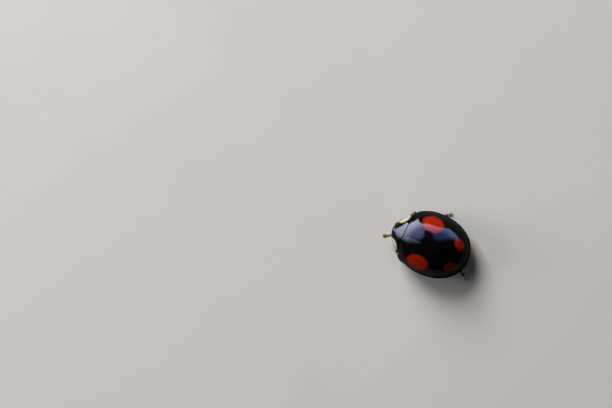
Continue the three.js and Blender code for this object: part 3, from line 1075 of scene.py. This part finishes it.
class LADYBIRD_OT_legs(bpy.types.Operator):
    """Makes the six legs: thigh, shin and the jointed foot with its claws"""

    bl_idname = "ladybird.legs"
    bl_label = "Legs"

    # Profiles: height as a share of the length, and radius in millimetres.
    thigh_profile = (
        (0, 0.08), (0.05, 0.13), (0.2, 0.19), (0.45, 0.23),
        (0.7, 0.215), (0.88, 0.165), (0.97, 0.12), (1.02, 0.05))
    shin_profile = (
        (-0.04, 0.05), (0.03, 0.1), (0.15, 0.1), (0.45, 0.105),
        (0.75, 0.125), (0.93, 0.145), (0.99, 0.13), (1.0, 0.06))
    # The foot's joints from ankle to toe: profile, and how far each is thinned.
    foot_joints = (
        (((0, 0.06), (0.25, 0.085), (0.75, 0.13), (1.05, 0.14), (1.15, 0.09)), 0.62),
        (((0, 0.06), (0.2, 0.1), (0.6, 0.165), (1.0, 0.17), (1.12, 0.1)), 0.5),
        (((-0.25, 0.04), (0.2, 0.05), (0.7, 0.062), (0.95, 0.072), (1.05, 0.04)), 0.85))
    lobed_joint = 1  # the number of the joint whose end is drawn in at its middle, into two lobes
    # Claw and tooth, point by point: how far aside, how far ahead as a share of the claw, and how high.
    claw_line = ((0.03, 0.0, 0.0), (0.075, 0.4, 0.01), (0.085, 0.8, -0.035), (0.07, 0.95, -0.092))
    claw_radii = (0.034, 0.03, 0.017, 0.003)
    tooth_line = ((0.055, 0.2, 0.0), (0.05, 0.32, -0.04), (0.045, 0.34, -0.07))
    tooth_radii = (0.024, 0.016, 0.003)

    def thigh(self, name, hip, knee):
        part = lengthened(name, self.thigh_profile, (Vector(knee) - Vector(hip)).length, 16, 0.66)
        smooth(part)
        stand(part, hip, knee)
        ring = ball("trochanter", hip, (0.15, 0.15, 0.13), 16, 10)
        return join(name, [ring, part])

    def shin(self, name, knee, ankle):
        part = lengthened(name, self.shin_profile, (Vector(ankle) - Vector(knee)).length, 14, 0.82)
        smooth(part)
        stand(part, knee, ankle)
        cap = ball("knee", knee, (0.125, 0.125, 0.11), 20, 12)
        along = (Vector(ankle) - Vector(knee)).normalized()
        end = Vector(knee).lerp(Vector(ankle), 0.96)
        across = along.cross(Vector((0, 0, 1))).normalized()
        spurs = []
        for d in (0.06, -0.06):
            line = [end + across * d, end + across * d * 1.3 + along * 0.06, end + across * d * 1.1 + along * 0.13]
            spurs.append(tube("spur", line, [0.022, 0.016, 0.003], 2))
        return join(name, spurs + [cap, part])

    def foot(self, name, ankle, toe):
        """Two broad joints, the second of them lobed, a slender last joint and two toothed claws."""
        ankle, toe = Vector(ankle), Vector(toe)
        flat = Vector((toe.x - ankle.x, toe.y - ankle.y, 0))
        ahead = flat.normalized()
        across = Vector((ahead.y, -ahead.x, 0))
        reach = flat.length + 0.12
        line = [(0.0, ankle.z - 0.03), (0.33, 0.16), (0.62, 0.11), (0.9, 0.10)]
        spots = [Vector((ankle.x, ankle.y, 0)) + ahead * (reach * share) + Vector((0, 0, z)) for share, z in line]
        parts = []
        for i, (profile, thin) in enumerate(self.foot_joints):
            a, b = spots[i], spots[i + 1]
            long = (b - a).length
            part = lengthened("joint", profile, long, 14, thin)
            if i == self.lobed_joint:
                push(part, lambda v: v.z > long * 0.9 and abs(v.x) < 0.05, (0, 0, -0.09))
            smooth(part)
            parts.append(stand(part, a, b))
        end = spots[-1]
        long = sizes().claw_length
        for d in (1, -1):
            side = across * d

            def place(out, share, rise):
                return end + side * out + ahead * long * share + Vector((0, 0, rise))

            parts.append(tube("claw", [place(*point) for point in self.claw_line], self.claw_radii, 3))
            parts.append(tube("claw_tooth", [place(*point) for point in self.tooth_line], self.tooth_radii, 2))
        return join(name, parts[::-1])

    def execute(self, context):
        thigh_horn = horn_finish("thigh horn", colours().thigh, tinted(colours().thigh, 1.9), 0.3, 14, 0.25)
        shin_horn = horn_finish("shin horn", colours().shin, tinted(colours().shin, 0.5), 0.34, 16, 0.2)
        for name, (hip, knee, ankle, toe) in LEGS.items():
            place, side = name.split("_")
            for part, make, start, end, slot, horn in (
                    ("femur", self.thigh, hip, knee, "thighs", thigh_horn),
                    ("tibia", self.shin, knee, ankle, "legs", shin_horn),
                    ("tarsus", self.foot, ankle, toe, "legs", shin_horn)):
                node = "_".join((place, part, side))
                finish_piece(make(node, start, end), [node], horn)
        return {"FINISHED"}


class LADYBIRD_OT_hairs(bpy.types.Operator):
    """Sets short hairs on the shins, feet, feelers and underside"""

    bl_idname = "ladybird.hairs"
    bl_label = "Hairs"

    golden_turn = 2.399963  # the angle that spreads roots evenly round a line
    belly_roots = 260  # about how many on each of the two large plates
    # Along the feeler: radius and number of hairs for each stretch.
    feeler_stretches = ((0.1, 24), (0.1, 30), (0.16, 44))

    def around(self, a, b, radius, count, first=0.1, last=1.0):
        """Roots wound about a line, each leaning towards its far end."""
        a, b = Vector(a), Vector(b)
        along = (b - a).normalized()
        across = along.cross(Vector((0, 0, 1))).normalized()
        roots = []
        for i in range(count):
            out = Quaternion(along, self.golden_turn * i) @ across
            share = first + (last - first) * (i + 0.5) / count
            roots.append((a.lerp(b, share) + out * radius * 0.9, out + along * 1.1))
        return roots

    def execute(self, context):
        finish = hair_finish()
        roots = []
        for _, knee, ankle, toe in LEGS.values():
            roots += self.around(knee, ankle, 0.105, 90)
            flat = (Vector(toe) - Vector(ankle)) * 0.5
            roots += self.around(ankle, Vector(ankle) + flat, 0.09, 40, 0.1, 0.9)
        finish_piece(hairs("leg_hairs", roots, sizes().hair_length), [], finish)
        roots = []
        for side, sign in SIDES:
            line = ANTENNAE[side]
            for a, b, (radius, count) in zip(line, line[1:], self.feeler_stretches):
                roots += self.around(a, b, radius, count, 0.0)
        finish_piece(hairs("feeler_hairs", roots, sizes().hair_length * 0.7), [], finish)
        roots = []
        for node in ("thorax", "abdomen"):
            skin = bpy.data.objects[node]
            faces = [face for face in skin.data.polygons if face.normal.z < -0.75]
            for face in faces[::max(1, len(faces) // self.belly_roots)]:
                place = face.center / MM + BODY_TO_ORIGIN
                roots.append((place, face.normal + Vector((0, 1.3, 0))))
        finish_piece(hairs("belly_hairs", roots, sizes().hair_length * 0.9), [], finish)
        return {"FINISHED"}


PIECES = (
    LADYBIRD_OT_wing_cases,
    LADYBIRD_OT_pronotum,
    LADYBIRD_OT_scutellum,
    LADYBIRD_OT_head,
    LADYBIRD_OT_feelers,
    LADYBIRD_OT_underside,
    LADYBIRD_OT_legs,
    LADYBIRD_OT_hairs,
)


class LADYBIRD_OT_stage(bpy.types.Operator):
    """Lays the floor and sets the studio lights and the camera"""

    bl_idname = "ladybird.stage"
    bl_label = "Floor, lights and camera"

    image_width = 612
    image_height = 408
    mm_scale = 11.84  # pixels to a millimetre at the animal
    body_pixel = (429.7, 244.25)
    body_middle = Vector((0, 3.36, 1.8))
    view_right = Vector((-0.3879, 0.9069, -0.1643))
    view_up = Vector((-0.9189, -0.3943, -0.0070))
    distance = 0.2

    # The bank of sky that the polish mirrors: sine of height above the horizon, and brightness.
    sky_bank = (
        (0.0, (0.76, 0.84, 1.14)), (0.22, (0.74, 0.80, 1.08)),
        (0.40, (0.53, 0.56, 0.79)), (0.57, (0.21, 0.26, 0.45)),
        (0.71, (0.17, 0.21, 0.39)), (0.82, (0.14, 0.175, 0.33)),
        (0.90, (0.085, 0.10, 0.18)), (0.95, (0.004, 0.004, 0.005)))
    sky_strength = 10.0
    # Angles on the horizon are counted from straight ahead of the animal, and run to its left.
    sky_middle, sky_half_width, sky_blur = math.radians(-58), math.radians(69), math.radians(10)
    sky_lean = math.radians(-14)  # how far it leans aside from the horizon to the zenith
    sky_brightest, sky_fade_width, sky_fade = math.radians(-35), math.radians(50), (1.15, 0.7)
    sky_side = (0.34, 0.46, 0.72)  # its tint on the animal's right
    sky_side_from, sky_side_to = math.radians(-75), math.radians(-97)
    waist_middle = math.radians(-70)
    # The edges below and above the waist: the angles beside its middle between which the height goes.
    rise_from, rise_to, rise_heights = math.radians(36), math.radians(14), (-0.1, 0.33)
    notch_from, notch_to, notch_heights = math.radians(24), math.radians(8), (1.0, 0.72)
    lift_from, lift_to, lift_height = math.radians(-31), math.radians(-21), 0.1
    waist_soft_below, waist_soft_above = (-0.05, 0.07), (-0.04, 0.08)
    room_light = (0.9, 0.94, 1.0)
    room_strength = 0.035
    backdrop_strength = 0.6
    lamp_tint = (1.0, 0.98, 0.95)
    lamp_size = (0.2, 0.2)
    floor_radius = 0.6
    floor_bounce = 0.15  # the share of its light that the floor gives the animal
    sensor_width = 36  # in millimetres

    def soft_light(self, name, place, power):
        """A lamp that only lights: the polish mirrors the bank of sky instead of it."""
        deselect()
        bpy.ops.object.light_add(type="AREA", location=place)
        lamp = bpy.context.object
        lamp.name = name
        lamp.data.shape = "RECTANGLE"
        lamp.data.size, lamp.data.size_y = self.lamp_size
        lamp.data.energy = power
        lamp.data.color = self.lamp_tint
        lamp.visible_glossy = False
        lamp.rotation_euler = Vector(place).to_track_quat("Z", "Y").to_euler()

    def studio(self):
        """A plain pale room, with a bank of sky to the front and right that gloss alone sees."""
        world = bpy.data.worlds.new("studio")
        world.use_nodes = True
        tree = world.node_tree

        def add(kind, *values, **props):
            node = tree.nodes.new(kind)
            for key, value in props.items():
                setattr(node, key, value)
            for i, value in enumerate(values):
                if isinstance(value, bpy.types.NodeSocket):
                    tree.links.new(value, node.inputs[i])
                else:
                    node.inputs[i].default_value = value
            return node.outputs

        def maths(operation, *values):
            return add("ShaderNodeMath", *values, operation=operation)[0]

        def apart(value, middle):
            return maths("ABSOLUTE", maths("SUBTRACT", value, middle))

        def spread(value, low, high, to_low=0.0, to_high=1.0):
            return add("ShaderNodeMapRange", value, low, high, to_low, to_high, interpolation_type="SMOOTHSTEP")[0]

        x, y, z = add("ShaderNodeSeparateXYZ", add("ShaderNodeTexCoord")["Generated"])
        round_about = maths("ARCTAN2", x, maths("MULTIPLY", y, -1.0))
        aside = apart(maths("MULTIPLY_ADD", z, self.sky_lean, round_about), self.sky_middle)
        inside = spread(
            aside, self.sky_half_width + self.sky_blur, self.sky_half_width - self.sky_blur, 0.0, self.sky_strength)
        # The bank narrows to a waist, where a notch from above meets a rise from below.
        beside = apart(round_about, self.waist_middle)
        rise = spread(beside, self.rise_from, self.rise_to, *self.rise_heights)
        rise = maths("ADD", rise, spread(round_about, self.lift_from, self.lift_to, 0.0, self.lift_height))
        notch = spread(beside, self.notch_from, self.notch_to, *self.notch_heights)
        over = spread(maths("SUBTRACT", z, rise), *self.waist_soft_below)
        under = spread(maths("SUBTRACT", notch, z), *self.waist_soft_above)
        fade = spread(apart(round_about, self.sky_brightest), 0.0, self.sky_fade_width, *self.sky_fade)
        for share in (over, under, fade):
            inside = maths("MULTIPLY", inside, share)
        to_side = spread(round_about, self.sky_side_from, self.sky_side_to)
        height = tree.nodes.new("ShaderNodeValToRGB")
        tree.links.new(z, height.inputs["Fac"])
        ramp = height.color_ramp.elements
        while len(ramp) < len(self.sky_bank):
            ramp.new(1.0)
        for stop, (place, tint) in zip(ramp, self.sky_bank):
            stop.position = place
            stop.color = (*tint, 1)
        tint = tree.nodes.new("ShaderNodeMix")
        tint.data_type, tint.blend_type = "RGBA", "MULTIPLY"
        tree.links.new(to_side, tint.inputs[0])
        tree.links.new(height.outputs["Color"], tint.inputs[6])
        tint.inputs[7].default_value = (*self.sky_side, 1)
        bank = add("ShaderNodeBackground", tint.outputs[2], inside)[0]
        room = add("ShaderNodeBackground", (*self.room_light, 1), self.room_strength)[0]
        backdrop = add("ShaderNodeBackground", (*self.room_light, 1), self.backdrop_strength)[0]
        ray = add("ShaderNodeLightPath")
        room = add("ShaderNodeMixShader", ray["Is Camera Ray"], room, backdrop)[0]
        room = add("ShaderNodeMixShader", ray["Is Glossy Ray"], room, bank)[0]
        tree.links.new(room, tree.nodes["World Output"].inputs["Surface"])
        return world

    def execute(self, context):
        deselect()
        bpy.ops.mesh.primitive_circle_add(
            vertices=96, radius=self.floor_radius, fill_type="NGON", location=(0, 0, 0))
        floor = context.object
        floor.name = "floor"
        f = Finish("pale floor", colours().floor, 0.9, specular=0.0)
        plain = f.blotches(0.05, 3, 0.3, 0.7, colours().floor, tinted(colours().floor, 0.97))
        # The floor looks pale, but gives the animal little light.
        seen = f.add("ShaderNodeLightPath").outputs["Is Camera Ray"]
        f.set(f.shader, "Base Color", f.mix(seen, tinted(colours().floor, self.floor_bounce), plain))
        floor.data.materials.append(f.material)

        context.scene.world = self.studio()
        context.scene.view_settings.view_transform = "Standard"
        self.soft_light("key", (-0.2, -0.23, 0.19), 1.4)
        self.soft_light("fill", (0.1, -0.3, 0.12), 0.45)

        right, up = self.view_right.normalized(), self.view_up.normalized()
        back = right.cross(up).normalized()
        up = back.cross(right)
        focal = self.mm_scale / MM * self.distance
        middle = (self.body_middle - BODY_TO_ORIGIN) * MM
        ray = Vector((
            (self.body_pixel[0] - self.image_width / 2) / focal,
            (self.image_height / 2 - self.body_pixel[1]) / focal, -1)).normalized()
        swing = Vector((0, 0, -1)).rotation_difference(ray).to_matrix()
        turn = Matrix((right, up, back)).transposed() @ swing.transposed()
        deselect()
        bpy.ops.object.camera_add()
        camera = context.object
        camera.matrix_world = Matrix.Translation(middle + back * self.distance) @ turn.to_4x4()
        camera.data.sensor_width = self.sensor_width
        camera.data.lens = self.sensor_width * focal / self.image_width
        camera.data.clip_start = 0.01
        camera.data.clip_end = 5
        context.scene.camera = camera
        return {"FINISHED"}


class LADYBIRD_PT_panel(bpy.types.Panel):
    """Lists the ladybird's pieces"""

    bl_idname = "LADYBIRD_PT_panel"
    bl_label = "Ladybird"
    bl_space_type = "VIEW_3D"
    bl_region_type = "UI"
    bl_category = "Ladybird"

    def draw(self, context):
        for piece in PIECES + (LADYBIRD_OT_stage,):
            self.layout.operator(piece.bl_idname)
        for group in (sizes(), colours()):
            for name in group.__annotations__:
                self.layout.prop(group, name)


CLASSES = (LadybirdSizes, LadybirdColours) + PIECES + (LADYBIRD_OT_stage, LADYBIRD_PT_panel)


def register():
    for item in CLASSES:
        bpy.utils.register_class(item)
    bpy.types.Scene.ladybird_sizes = bpy.props.PointerProperty(type=LadybirdSizes)
    bpy.types.Scene.ladybird_colours = bpy.props.PointerProperty(type=LadybirdColours)


def unregister():
    del bpy.types.Scene.ladybird_colours
    del bpy.types.Scene.ladybird_sizes
    for item in reversed(CLASSES):
        bpy.utils.unregister_class(item)


def main():
    register()
    for piece in PIECES + (LADYBIRD_OT_stage,):
        group, action = piece.bl_idname.split(".")
        getattr(getattr(bpy.ops, group), action)()


if __name__ == "__main__":
    main()
